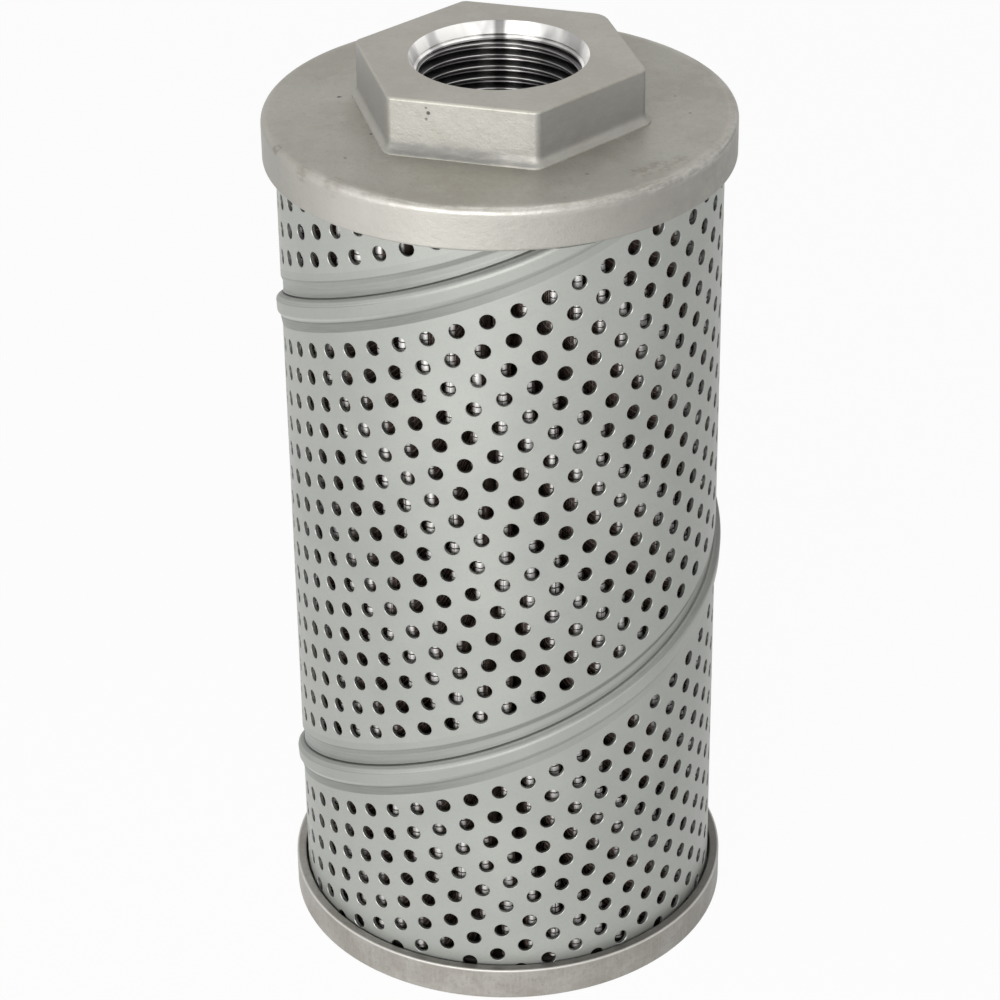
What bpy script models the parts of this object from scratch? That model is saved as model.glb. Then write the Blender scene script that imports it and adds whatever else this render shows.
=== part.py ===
"""Hydraulic return filter element with a spiral lock-seam outer tube.

The element stands on its closed cap, centred on the origin, +Z up. Lengths are in metres.
"""

import math

import bmesh
import bpy
from mathutils import Matrix, Vector

# Overall and caps
overall_height = 0.1868
cap_rim_thickness = 0.0020
top_plate_thickness = 0.0046
top_rim_height = 0.0083
top_edge_radius = 0.0012
bottom_rim_height = 0.0070
bottom_floor_thickness = 0.0030
bottom_edge_bevel = 0.0006

# Hexagon boss and port
hex_across_flats = 0.0490
hex_height = 0.0108
hex_foot_height = 0.0015
hex_foot_spread = 0.0011
hex_corner_cut = 0.0012
hex_edge_bevel = 0.0005
hex_turn = math.radians(43.9)
port_bore_diameter = 0.0303
port_mouth_diameter = 0.0336
port_mouth_depth = 0.0026
port_mouth_taper = 0.0009
port_depth = 0.0245
neck_wall = 0.0041
spigot_height = 0.0030

# Outer tube: a perforated strip wound in a helix and closed by a folded seam
tube_diameter = 0.0850
tube_wall = 0.0007
seam_rise = 0.1037
seam_height_at_x = 0.0864
recess_width = 0.0028
recess_depth = 0.0004
bead_width = 0.0043
bead_height = 0.0011
bead_shoulder = 0.0006
land_width = 0.0020
land_height = 0.0002
hole_spacing = 0.0146
hole_width = 0.0060
hole_margin = 0.0016

# Pleated pack, three nested sheets
pleat_count = 54
sheet_thickness = 0.00018
sheet_count = 3
fold_opening = 0.0005
clip_leg = 0.0050
clip_thickness = 0.0003

# Core tube, which hangs round the cap's neck
neck_clearance = 0.00305
core_wall = 0.0007
core_holes_around = 8
core_hole_width = 0.0062
core_hole_rise = 0.0265

# Potting rings and clearances
potting_thickness = 0.0032
fit_gap = 0.0003
rim_clearance = 0.0004
facet_allowance = 0.0002
core_facet_allowance = 0.0005
cutter_overrun = 0.0020

# Facets around
cap_segments = 48
bore_segments = 32
ring_segments = 32

# Derived places
tube_radius = tube_diameter / 2
neck_radius = port_bore_diameter / 2 + neck_wall
core_inner_radius = neck_radius + neck_clearance
core_radius = core_inner_radius + core_wall
cap_inner_radius = tube_radius + rim_clearance
cap_radius = cap_inner_radius + cap_rim_thickness
cap_face_z = overall_height - hex_height
ceiling_z = cap_face_z - top_plate_thickness
top_rim_z = cap_face_z - top_rim_height
neck_bottom_z = overall_height - port_depth
floor_z = bottom_floor_thickness
tube_bottom_z = floor_z + fit_gap
tube_top_z = ceiling_z - fit_gap
pack_bottom_z = floor_z + 2 * fit_gap + potting_thickness
pack_top_z = ceiling_z - 2 * fit_gap - potting_thickness
pack_outer_radius = tube_radius - tube_wall - recess_depth - facet_allowance - fit_gap
pack_inner_radius = core_radius + fit_gap
sheet_step = sheet_thickness + fit_gap
pack_thickness = sheet_count * sheet_thickness + (sheet_count - 1) * fit_gap


def clear_scene():
    for item in list(bpy.data.objects):
        bpy.data.objects.remove(item, do_unlink=True)


def make_material(name, colour, metallic, roughness):
    material = bpy.data.materials.new(name)
    material.use_nodes = True
    shader = material.node_tree.nodes["Principled BSDF"]
    shader.inputs["Base Color"].default_value = (*colour, 1.0)
    shader.inputs["Metallic"].default_value = metallic
    shader.inputs["Roughness"].default_value = roughness
    return material


def new_object(name, mesh, material=None):
    item = bpy.data.objects.new(name, mesh)
    bpy.context.collection.objects.link(item)
    if material:
        mesh.materials.append(material)
    return item


def finish_mesh(name, bm, sharp_degrees=35):
    bmesh.ops.recalc_face_normals(bm, faces=bm.faces)
    mesh = bpy.data.meshes.new(name)
    bm.to_mesh(mesh)
    bm.free()
    mesh.shade_smooth()
    mesh.set_sharp_from_angle(angle=math.radians(sharp_degrees))
    return mesh


def turn_profile(name, profile, segments):
    """Turn a closed (radius, height) outline about the Z axis; points at radius 0 become poles."""
    bm = bmesh.new()
    rings = []
    for radius, height in profile:
        if radius == 0:
            rings.append([bm.verts.new((0, 0, height))] * segments)
            continue
        ring = []
        for step in range(segments):
            angle = 2 * math.pi * step / segments
            ring.append(bm.verts.new((radius * math.cos(angle), radius * math.sin(angle), height)))
        rings.append(ring)
    for low, high in zip(rings, rings[1:] + rings[:1]):
        for step in range(segments):
            nxt = (step + 1) % segments
            corners = []
            for vert in (low[step], low[nxt], high[nxt], high[step]):
                if vert not in corners:
                    corners.append(vert)
            if len(corners) > 2:
                bm.faces.new(corners)
    return finish_mesh(name, bm)


def cut_with(target, cutter, operation="DIFFERENCE"):
    cutter.hide_render = True
    cutter.display_type = "WIRE"
    cutter.parent = target
    boolean = target.modifiers.new(cutter.name, "BOOLEAN")
    boolean.operation = operation
    boolean.solver = "EXACT"
    boolean.object = cutter


# Caps

def hexagon_ring(bm, radius, height):
    """Hexagon whose corners are cut back a little, as a cast boss has them."""
    ring = []
    for corner in range(6):
        middle = hex_turn + corner * math.pi / 3
        tip = Vector((radius * math.cos(middle), radius * math.sin(middle), height))
        for side in (-1, 1):
            along = middle + side * (math.pi / 2 + math.pi / 6)
            ring.append(bm.verts.new(tip + hex_corner_cut * Vector((math.cos(along), math.sin(along), 0))))
    return ring


def make_hexagon_boss():
    corner_radius = hex_across_flats / math.sqrt(3)
    foot_radius = corner_radius + hex_foot_spread * 2 / math.sqrt(3)
    levels = [
        (foot_radius, cap_face_z - top_plate_thickness / 2),
        (foot_radius, cap_face_z),
        (corner_radius, cap_face_z + hex_foot_height),
        (corner_radius, overall_height - hex_edge_bevel),
        (corner_radius - hex_edge_bevel, overall_height),
    ]
    bm = bmesh.new()
    rings = [hexagon_ring(bm, radius, height) for radius, height in levels]
    for low, high in zip(rings, rings[1:]):
        for step in range(len(low)):
            nxt = (step + 1) % len(low)
            bm.faces.new((low[step], low[nxt], high[nxt], high[step]))
    bm.faces.new(list(reversed(rings[0])))
    bm.faces.new(rings[-1])
    return new_object("hexagon_boss", finish_mesh("hexagon_boss", bm, 20))


def make_port_cutter():
    bore = port_bore_diameter / 2
    mouth = port_mouth_diameter / 2
    foot = mouth - port_mouth_taper
    foot_z = overall_height - port_mouth_depth
    slope = port_mouth_taper / port_mouth_depth
    profile = [
        (0, neck_bottom_z - cutter_overrun),
        (bore, neck_bottom_z - cutter_overrun),
        (bore, foot_z - (foot - bore)),
        (foot, foot_z),
        (mouth + slope * cutter_overrun, overall_height + cutter_overrun),
        (0, overall_height + cutter_overrun),
    ]
    return new_object("port_cutter", turn_profile("port_cutter", profile, bore_segments))


def make_top_cap(material):
    bevel = top_edge_radius
    soft = bevel * (1 - math.sqrt(0.5))
    spigot = core_inner_radius - core_facet_allowance - fit_gap
    profile = [
        (0, neck_bottom_z),
        (neck_radius, neck_bottom_z),
        (neck_radius, ceiling_z - spigot_height),
        (spigot, ceiling_z - spigot_height),
        (spigot, ceiling_z),
        (cap_inner_radius, ceiling_z),
        (cap_inner_radius, top_rim_z),
        (cap_radius - bottom_edge_bevel, top_rim_z),
        (cap_radius, top_rim_z + bottom_edge_bevel),
        (cap_radius, cap_face_z - bevel),
        (cap_radius - soft, cap_face_z - soft),
        (cap_radius - bevel, cap_face_z),
        (0, cap_face_z),
    ]
    cap = new_object("top_cap", turn_profile("top_cap", profile, cap_segments), material)
    cut_with(cap, make_hexagon_boss(), "UNION")
    cut_with(cap, make_port_cutter())
    return cap


def make_bottom_cap(material):
    bevel = bottom_edge_bevel
    profile = [
        (0, 0),
        (cap_radius - bevel, 0),
        (cap_radius, bevel),
        (cap_radius, bottom_rim_height - bevel),
        (cap_radius - bevel, bottom_rim_height),
        (cap_inner_radius, bottom_rim_height),
        (cap_inner_radius, floor_z),
        (0, floor_z),
    ]
    return new_object("bottom_cap", turn_profile("bottom_cap", profile, cap_segments), material)


# Perforated walls: hexagonal holes on a staggered grid, joined by squares and triangles

class PerforatedWall:
    """Wall of two skins with a staggered grid of holes.

    A place on it is (along, down, skin). Columns are half a hole spacing apart, and the
    vertices are made once and shared, so that the wall closes on itself.
    """

    def __init__(self, place, column_width, hole_radius, row_down, wrap):
        self.bm = bmesh.new()
        self.place = place
        self.column_width = column_width
        self.hole_radius = hole_radius
        self.row_down = row_down
        self.wrap = wrap
        self.verts = {}

    def vert(self, key, along, down, height, skin):
        if key not in self.verts:
            self.verts[key] = self.bm.verts.new(self.place(along, down, height, skin))
        return self.verts[key]

    def on_line(self, skin, line, column):
        name, down, height = line
        column = self.wrap(column)
        return self.vert((skin, name, column), column * self.column_width, down, height, skin)

    def on_hole(self, skin, row, column, degrees):
        column = self.wrap(column)
        angle = math.radians(degrees)
        along = column * self.column_width + self.hole_radius * math.cos(angle)
        down = self.row_down(row) - self.hole_radius * math.sin(angle)
        return self.vert((skin, row, column, degrees), along, down, 0, skin)

    def face(self, *corners):
        self.bm.faces.new(corners)

    def band(self, skin, upper, lower, column):
        self.face(self.on_line(skin, upper, column), self.on_line(skin, upper, column + 1),
                  self.on_line(skin, lower, column + 1), self.on_line(skin, lower, column))

    def margin_above(self, skin, line, row, column):
        """Sheet between a line and the holes just below it."""
        hole = lambda shift, degrees: self.on_hole(skin, row, column + shift, degrees)
        edge = lambda shift: self.on_line(skin, line, column + shift)
        self.face(edge(0), edge(1), hole(0, 30), hole(0, 90))
        self.face(edge(1), hole(2, 150), hole(0, 30))
        self.face(edge(1), edge(2), hole(2, 90), hole(2, 150))

    def margin_below(self, skin, line, row, column, line_shift):
        """Sheet between the last holes and a line below them."""
        hole = lambda shift, degrees: self.on_hole(skin, row, column + shift, degrees)
        edge = lambda shift: self.on_line(skin, line, column + shift + line_shift)
        self.face(hole(0, 270), hole(0, 330), edge(1), edge(0))
        self.face(hole(0, 330), hole(2, 210), edge(1))
        self.face(hole(2, 210), hole(2, 270), edge(2), edge(1))

    def between_holes(self, skin, row, column):
        hole = lambda shift, degrees: self.on_hole(skin, row, column + shift, degrees)
        self.face(hole(0, 330), hole(0, 30), hole(2, 150), hole(2, 210))

    def between_rows(self, skin, row, column):
        hole = lambda shift, degrees: self.on_hole(skin, row, column + shift, degrees)
        under = lambda shift, degrees: self.on_hole(skin, row + 1, column + shift, degrees)
        self.face(hole(0, 270), hole(0, 330), under(1, 90), under(1, 150))
        self.face(hole(0, 210), hole(0, 270), under(-1, 30), under(-1, 90))
        self.face(hole(0, 330), hole(2, 210), under(1, 90))
        self.face(hole(0, 270), under(1, 150), under(-1, 30))

    def hole_edge(self, row, column):
        for degrees in range(30, 390, 60):
            nxt = (degrees + 60) % 360
            self.face(self.on_hole("outer", row, column, degrees), self.on_hole("outer", row, column, nxt),
                      self.on_hole("inner", row, column, nxt), self.on_hole("inner", row, column, degrees))


def make_outer_tube(material):
    turn = 2 * math.pi * tube_radius
    slope = math.atan2(seam_rise, turn)
    strip_width = turn * math.sin(slope)
    strip_shift = turn * math.cos(slope)
    holes_per_shift = round(strip_shift / hole_spacing)
    spacing = strip_shift / holes_per_shift
    row_step = spacing * math.sqrt(3) / 2
    hole_radius = hole_width / math.sqrt(3)
    bead_start = recess_width + recess_depth
    bead_end = bead_start + bead_width
    land_end = bead_end + land_width
    outline = [
        ("margin", 0.0, 0.0),
        ("crease", recess_depth, -recess_depth),
        ("lip_root", bead_start, -recess_depth),
        ("lip_top", bead_start, bead_height - bead_shoulder),
        ("bead_crown", bead_start + bead_shoulder, bead_height),
        ("bead_back", bead_end - bead_shoulder, bead_height),
        ("land", bead_end, land_height),
        ("land_edge", land_end, land_height),
        ("sheet", land_end + land_height, 0.0),
    ]
    lining = [outline[0], outline[1], ("lining", bead_end, -recess_depth), outline[-1]]
    lines = {"outer": outline, "inner": lining}
    seam_width = outline[-1][1]
    free_width = strip_width - seam_width - 2 * hole_margin - 2 * hole_radius
    row_count = int(free_width / row_step) + 1
    first_row = seam_width + (strip_width - seam_width - (row_count - 1) * row_step) / 2
    lip_offset = bead_start

    def place(along, down, height, skin):
        down = down - lip_offset
        angle = (along * math.cos(slope) + down * math.sin(slope)) / tube_radius
        rise = seam_height_at_x + along * math.sin(slope) - down * math.cos(slope)
        radius = tube_radius + height - (tube_wall if skin == "inner" else 0.0)
        return (radius * math.cos(angle), radius * math.sin(angle), rise)

    wall = PerforatedWall(
        place, spacing / 2, hole_radius, lambda row: first_row + row * row_step, lambda column: column)
    lowest = (tube_bottom_z - seam_height_at_x - strip_width) / math.sin(slope)
    highest = (tube_top_z - seam_height_at_x + 2 * strip_width) / math.sin(slope)
    first_column = 2 * math.floor(lowest / spacing)
    last_column = 2 * math.ceil(highest / spacing)
    last_row = row_count - 1
    for column in range(first_column, last_column):
        for skin in ("outer", "inner"):
            for upper, lower in zip(lines[skin], lines[skin][1:]):
                wall.band(skin, upper, lower, column)
    for row in range(row_count):
        for column in range(first_column + row % 2, last_column, 2):
            wall.hole_edge(row, column)
            for skin in ("outer", "inner"):
                wall.between_holes(skin, row, column)
                if row == 0:
                    wall.margin_above(skin, lines[skin][-1], row, column)
                if row < last_row:
                    wall.between_rows(skin, row, column)
                else:
                    wall.margin_below(skin, lines[skin][0], row, column, -2 * holes_per_shift)
    bm = wall.bm
    trim_flat(bm, tube_bottom_z, -1)
    trim_flat(bm, tube_top_z, 1)
    tube = new_object("outer_tube", finish_mesh("outer_tube", bm, 25), material)
    cut_with(tube, make_seam_cutter("lower_seam_cutter", tube_bottom_z - cutter_overrun, bottom_rim_height + fit_gap))
    cut_with(tube, make_seam_cutter("upper_seam_cutter", top_rim_z - fit_gap, tube_top_z + cutter_overrun))
    return tube


def trim_flat(bm, height, side):
    """Cut everything past a level away and close the wall there."""
    cut = bmesh.ops.bisect_plane(
        bm, geom=bm.verts[:] + bm.edges[:] + bm.faces[:], dist=1e-7,
        plane_co=(0, 0, height), plane_no=(0, 0, side), clear_outer=True)
    edges = [item for item in cut["geom_cut"] if isinstance(item, bmesh.types.BMEdge)]
    bmesh.ops.triangle_fill(bm, edges=edges, normal=(0, 0, side), use_beauty=True)


def make_seam_cutter(name, low, high):
    """Ring that takes the bead back where the cap's rim grips the tube."""
    inner = cap_inner_radius - fit_gap
    outer = tube_radius + bead_height + cutter_overrun
    profile = [(inner, low), (outer, low), (outer, high), (inner, high)]
    return new_object(name, turn_profile(name, profile, 2 * cap_segments))


# Pleated pack

def pleat_section(depth):
    """Outline of one surface of the pack, a given depth in from its outer face.

    Flanks run between two radii, and each fold is flat. The first and last flanks stop short
    of the fold at the side seam.
    """
    outer_radius = pack_outer_radius - depth
    inner_radius = pack_inner_radius + pack_thickness - depth
    pitch = 2 * math.pi / pleat_count
    root_opening = (pack_inner_radius * pitch - 2 * pack_thickness) / 2
    outer_half = fold_opening / 2 + pack_thickness - depth
    inner_half = root_opening / 2 + pack_thickness - depth
    fold = Vector((outer_radius, outer_half, 0))
    root = Vector((inner_radius, inner_half, 0))
    raw_edge_radius = pack_outer_radius - fit_gap - clip_thickness
    raw_edge = fold.lerp(root, (outer_radius - raw_edge_radius) / (outer_radius - inner_radius))
    mirror = Vector((1, -1, 1))
    points = []
    for pleat in range(pleat_count + 1):
        turn = Matrix.Rotation(pitch * pleat + math.pi / 2, 3, "Z")
        after = [fold if pleat > 0 else raw_edge, root]
        before = [root * mirror, (fold if pleat < pleat_count else raw_edge) * mirror]
        if pleat > 0:
            points += [turn @ point for point in before]
        if pleat < pleat_count:
            points += [turn @ point for point in after]
    return points


def make_pleated_sheet(name, index, material):
    front = pleat_section(index * sheet_step)
    back = pleat_section(index * sheet_step + sheet_thickness)
    bm = bmesh.new()
    columns = []
    for outer, inner in zip(front, back):
        columns.append([
            bm.verts.new((outer.x, outer.y, pack_bottom_z)),
            bm.verts.new((outer.x, outer.y, pack_top_z)),
            bm.verts.new((inner.x, inner.y, pack_top_z)),
            bm.verts.new((inner.x, inner.y, pack_bottom_z)),
        ])
    for left, right in zip(columns, columns[1:]):
        for step in range(4):
            nxt = (step + 1) % 4
            bm.faces.new((left[step], right[step], right[nxt], left[nxt]))
    bm.faces.new(columns[0])
    bm.faces.new(list(reversed(columns[-1])))
    return new_object(name, finish_mesh(name, bm, 20), material)


def make_seam_clip(material):
    """Channel folded over the two raw edges of the pack."""
    front = pleat_section(0)
    edge = front[0]
    foot = front[1]
    half = abs(edge.x) + fit_gap
    outer = pack_outer_radius
    lean = (abs(edge.x) - abs(foot.x)) / (edge.y - foot.y)
    leg_end = edge.y - clip_leg
    leg_half = half - lean * clip_leg
    thick = clip_thickness
    section = [
        (half + thick, outer), (-half - thick, outer), (-leg_half - thick, leg_end), (-leg_half, leg_end),
        (-half, outer - thick), (half, outer - thick), (leg_half, leg_end), (leg_half + thick, leg_end),
    ]
    bm = bmesh.new()
    low = [bm.verts.new((x, y, pack_bottom_z)) for x, y in section]
    high = [bm.verts.new((x, y, pack_top_z)) for x, y in section]
    for step in range(len(section)):
        nxt = (step + 1) % len(section)
        bm.faces.new((low[step], low[nxt], high[nxt], high[step]))
    bm.faces.new(list(reversed(low)))
    bm.faces.new(high)
    return new_object("pack_seam_clip", finish_mesh("pack_seam_clip", bm), material)


# Core tube and potting

def make_core_tube(material):
    columns = 2 * core_holes_around
    column_width = 2 * math.pi * core_radius / columns
    height = tube_top_z - tube_bottom_z
    row_count = int((height - core_hole_rise) / core_hole_rise) + 1
    first_row = (height - (row_count - 1) * core_hole_rise) / 2

    def place(along, down, offset, skin):
        angle = along / core_radius
        radius = core_inner_radius if skin == "inner" else core_radius
        return (radius * math.cos(angle), radius * math.sin(angle), tube_top_z - down)

    wall = PerforatedWall(
        place, column_width, core_hole_width / math.sqrt(3), lambda row: first_row + row * core_hole_rise,
        lambda column: column % columns)
    top_line = ("top", 0.0, 0.0)
    bottom_line = ("bottom", height, 0.0)
    for row in range(row_count):
        for column in range(row % 2, columns, 2):
            wall.hole_edge(row, column)
            for skin in ("outer", "inner"):
                wall.between_holes(skin, row, column)
                if row == 0:
                    wall.margin_above(skin, top_line, row, column)
                if row < row_count - 1:
                    wall.between_rows(skin, row, column)
                else:
                    wall.margin_below(skin, bottom_line, row, column, 0)
    for line in (top_line, bottom_line):
        for column in range(columns):
            wall.face(wall.on_line("outer", line, column), wall.on_line("outer", line, column + 1),
                      wall.on_line("inner", line, column + 1), wall.on_line("inner", line, column))
    return new_object("core_tube", finish_mesh("core_tube", wall.bm, 25), material)


def make_potting(name, low, material):
    high = low + potting_thickness
    inner = pack_inner_radius
    outer = pack_outer_radius
    profile = [(inner, low), (outer, low), (outer, high), (inner, high)]
    return new_object(name, turn_profile(name, profile, ring_segments), material)


def build():
    clear_scene()
    cast_steel = make_material("cast_steel", (0.42, 0.40, 0.37), 1.0, 0.38)
    turned_steel = make_material("turned_steel", (0.45, 0.42, 0.39), 1.0, 0.35)
    galvanised = make_material("galvanised_steel", (0.55, 0.57, 0.55), 1.0, 0.42)
    coarse_mesh = make_material("coarse_wire_cloth", (0.50, 0.50, 0.48), 1.0, 0.30)
    fine_mesh = make_material("fine_wire_cloth", (0.70, 0.70, 0.68), 1.0, 0.25)
    clip_steel = make_material("clip_steel", (0.60, 0.60, 0.58), 1.0, 0.35)
    adhesive = make_material("cured_adhesive", (0.10, 0.09, 0.08), 0.0, 0.55)
    make_bottom_cap(turned_steel)
    make_potting("bottom_potting", floor_z + fit_gap, adhesive)
    make_core_tube(galvanised)
    make_pleated_sheet("outer_support_mesh", 0, coarse_mesh)
    make_pleated_sheet("filter_medium", 1, fine_mesh)
    make_pleated_sheet("inner_support_mesh", 2, coarse_mesh)
    make_seam_clip(clip_steel)
    make_outer_tube(galvanised)
    make_potting("top_potting", pack_top_z + fit_gap, adhesive)
    make_top_cap(cast_steel)


build()
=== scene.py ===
# Hydraulic return filter element: its looks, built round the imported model.
# Lengths are in metres. The element stands on the origin, +Z up, and the camera looks along +Y.
import math

import bmesh
import bpy
from mathutils import Matrix, Vector


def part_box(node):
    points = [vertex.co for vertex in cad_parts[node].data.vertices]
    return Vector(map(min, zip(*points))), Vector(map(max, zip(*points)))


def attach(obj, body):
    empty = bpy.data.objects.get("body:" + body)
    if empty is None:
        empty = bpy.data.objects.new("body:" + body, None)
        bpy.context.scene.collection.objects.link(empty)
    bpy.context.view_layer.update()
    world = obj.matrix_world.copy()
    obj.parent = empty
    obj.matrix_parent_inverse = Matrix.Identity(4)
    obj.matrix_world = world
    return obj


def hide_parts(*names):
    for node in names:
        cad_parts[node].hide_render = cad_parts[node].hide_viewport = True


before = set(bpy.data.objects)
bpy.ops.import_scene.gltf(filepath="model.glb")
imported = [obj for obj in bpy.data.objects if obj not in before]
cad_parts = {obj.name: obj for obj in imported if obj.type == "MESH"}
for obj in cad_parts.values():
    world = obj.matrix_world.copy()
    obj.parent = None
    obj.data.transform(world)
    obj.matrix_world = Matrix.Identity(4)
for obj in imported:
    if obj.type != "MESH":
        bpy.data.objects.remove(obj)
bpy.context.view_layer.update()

# Camera, solved from the photograph
camera_distance = 0.65362
camera_aim_height = 0.09959
camera_elevation = math.radians(29.496)
camera_pitch = math.radians(-0.663)
camera_yaw = math.radians(0.07)
camera_roll = math.radians(0.65)
camera_lens = 117.98

# Caps
overall_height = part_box("top_cap")[1][2]
cap_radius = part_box("top_cap")[1][0]
neck_bottom_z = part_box("top_cap")[0][2]
cap_rim_thickness = 0.0020
top_plate_thickness = 0.0046
top_rim_height = 0.0083
top_edge_radius = 0.0012
rim_foot_radius = 0.0005
bottom_rim_height = 0.0070
bottom_floor_thickness = 0.0030
bottom_edge_radius = 0.00045
bottom_rim_edge_radius = 0.0002
neck_radius = 0.01925
spigot_radius = 0.0215
spigot_height = 0.0030

# Hexagon boss
hex_across_flats = 0.0490
hex_height = 0.0108
hex_foot_height = 0.0015
hex_foot_spread = 0.0011
hex_flare_degrees = 20
hex_corner_radii = (0.0044, 0.0019, 0.0019, 0.0012, 0.0017, 0.0019)
hex_edge_radius = 0.0005
hex_turn = math.radians(43.9)

# Port and its pipe thread
port_bore_radius = 0.01515
mouth_radius = 0.0168
mouth_edge_cut = 0.00015
mouth_foot_radius = 0.01590
mouth_foot_depth = 0.0023
mouth_groove_radius = 0.01625
mouth_ring_radius = 0.01550
mouth_ring_depth = 0.0033
collar_overlap = 0.0001
collar_reach = 0.0008
collar_depth = 0.0003
thread_root_radius = 0.01662
thread_pitch = 0.002309
thread_turns = 7.6
first_crest_depth = 0.00422
thread_run_out = 0.5

# Wear on the cap: place, reach and share of each dark speck and of each rusty mark
specks = (
    ((-0.0304, 0.0060, 0.1760), 0.00050, 0.9),
    ((-0.0301, 0.0061, 0.1760), 0.00035, 0.7),
    ((-0.0238, -0.0115, 0.1760), 0.00045, 0.7),
    ((-0.0129, -0.0218, 0.1845), 0.00050, 0.9),
    ((-0.0133, -0.0217, 0.1855), 0.00032, 0.7),
    ((-0.0133, -0.0217, 0.1833), 0.00040, 0.6),
    ((0.0356, -0.0035, 0.1760), 0.00040, 0.5),
    ((0.0332, 0.0046, 0.1760), 0.00035, 0.5),
    ((-0.0282, -0.0221, 0.1760), 0.00045, 0.5),
)
rust_marks = (
    ((0.0156, -0.0303, 0.1760), 0.00060, 0.9),
    ((0.0252, -0.0296, 0.1755), 0.0030, 0.42),
    ((0.0289, -0.0271, 0.1755), 0.0034, 0.45),
    ((0.0327, -0.0246, 0.1755), 0.0026, 0.35),
    ((-0.0411, -0.0171, 0.1755), 0.0016, 0.70),
    ((-0.0362, -0.0269, 0.1755), 0.0026, 0.45),
    ((-0.0300, -0.0325, 0.1755), 0.0030, 0.40),
)

# Outer tube
tube_radius = 0.0425
tube_wall = 0.0007
tube_bottom_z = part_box("outer_tube")[0][2]
tube_top_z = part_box("outer_tube")[1][2]
seam_rise = 0.10373
seam_height_at_x = 0.08646
hole_radius = 0.00152
hole_edge_bevel = 0.00008
holes_per_shift = 41
hole_row_count = 16
hole_row_step = 0.00527
first_hole_row = 0.00999
first_hole_phase = 0.29

# Seam section
recess_width = 0.0034
recess_slope_width = 0.0010
recess_depth = 0.0004
lip_gap = 0.0003
lip_gap_depth = 0.0005
bead_width = 0.0043
bead_height = 0.0011
bead_rise_width = 0.0008
bead_dish = 0.00015
land_width = 0.0021
land_height = 0.00038
pressed_bead_height = 0.0001

# Painted shade and painted highlights in bands along the seam: start and end across the strip, soft edge,
# share on the left and right side, colour
seam_shade_and_highlight_tones = (
    (-0.0056, -0.0034, 0.00060, 0.16, 0.00, (0.20, 0.21, 0.195)),
    (-0.0036, -0.0033, 0.00008, 0.40, 0.20, (0.12, 0.125, 0.115)),
    (-0.0034, -0.0022, 0.00015, 0.34, 0.42, (0.16, 0.17, 0.155)),
    (-0.0022, 0.0, 0.00025, 0.42, 0.04, (0.16, 0.17, 0.155)),
    (-0.0010, 0.0001, 0.00040, 0.32, 0.34, (0.12, 0.125, 0.115)),
    (0.0001, 0.0008, 0.00020, 0.32, 0.56, (0.15, 0.155, 0.145)),
    (0.0004, 0.0007, 0.00012, 0.30, 0.00, (0.62, 0.63, 0.60)),
    (0.0011, 0.0013, 0.00008, 0.30, 0.15, (0.12, 0.125, 0.115)),
    (0.0008, 0.0036, 0.00030, 0.12, 0.00, (0.16, 0.165, 0.155)),
    (0.0035, 0.0040, 0.00012, 0.30, 0.08, (0.62, 0.63, 0.60)),
    (0.0043, 0.0064, 0.00010, 0.62, 0.10, (0.15, 0.155, 0.14)),
    (0.0043, 0.0046, 0.00008, 0.30, 0.28, (0.10, 0.105, 0.095)),
)
press_blend = 0.0006
press_margin = 0.0001

# Pleated pack
pleat_count = 54
pleat_fold_opening = 0.0005
pack_bottom_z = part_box("filter_medium")[0][2]
pack_top_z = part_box("filter_medium")[1][2]
pack_outer_radius = tube_radius - tube_wall - recess_depth - 0.00015
pack_inner_radius = 0.0233
pack_thickness = 0.00114
raw_edge_inset = 0.00095
support_wire_radius = 0.00015
support_wire_pitch = 0.00128
filter_cloth_depth = 0.00028
filter_cloth_thickness = 0.00018
fine_weave_pitch = 0.00022
inner_cloth_depth = 0.0009
inner_cloth_thickness = 0.00018
pleat_drift = 0.0011
pleat_sink = 0.00020

# Core tube
core_radius = 0.0230
core_wall = 0.0007
core_holes_around = 12
core_hole_radius = 0.0030

# Facets
cap_steps = 192
bore_steps = 128
fillet_steps = 5
thread_steps_per_turn = 96
cloth_levels = 14
corner_guard = 0.00006
over_cut = 0.002
cap_crease_degrees = 32
tube_crease_degrees = 33
cloth_crease_degrees = 60

# Tones used more than once: dirt and painted shade at the hexagon's foot, stains and painted shade on the
# rim, wear and painted highlights on the rim, painted shade on the pan's rim
foot_dirt_and_shade_tone = (0.15, 0.147, 0.138)
stain_and_shade_tone = (0.26, 0.25, 0.23)
wear_and_highlight_tone = (0.62, 0.60, 0.56)
pan_shade_tone = (0.09, 0.086, 0.08)

# Point that every light looks at
light_aim = (0, 0, 0.10)

# Derived places
cap_inner_radius = cap_radius - cap_rim_thickness
cap_face_z = overall_height - hex_height
ceiling_z = cap_face_z - top_plate_thickness
top_rim_z = cap_face_z - top_rim_height
floor_z = bottom_floor_thickness
seam_slope = math.atan2(seam_rise, 2 * math.pi * tube_radius)
strip_shift = 2 * math.pi * tube_radius * math.cos(seam_slope)
strip_width = 2 * math.pi * tube_radius * math.sin(seam_slope)
hole_spacing = strip_shift / holes_per_shift
strip_start = (tube_bottom_z - seam_height_at_x - strip_width) / math.sin(seam_slope)


# Node trees: a number in a tree is a Field, so that formulas read as plain arithmetic

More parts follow.
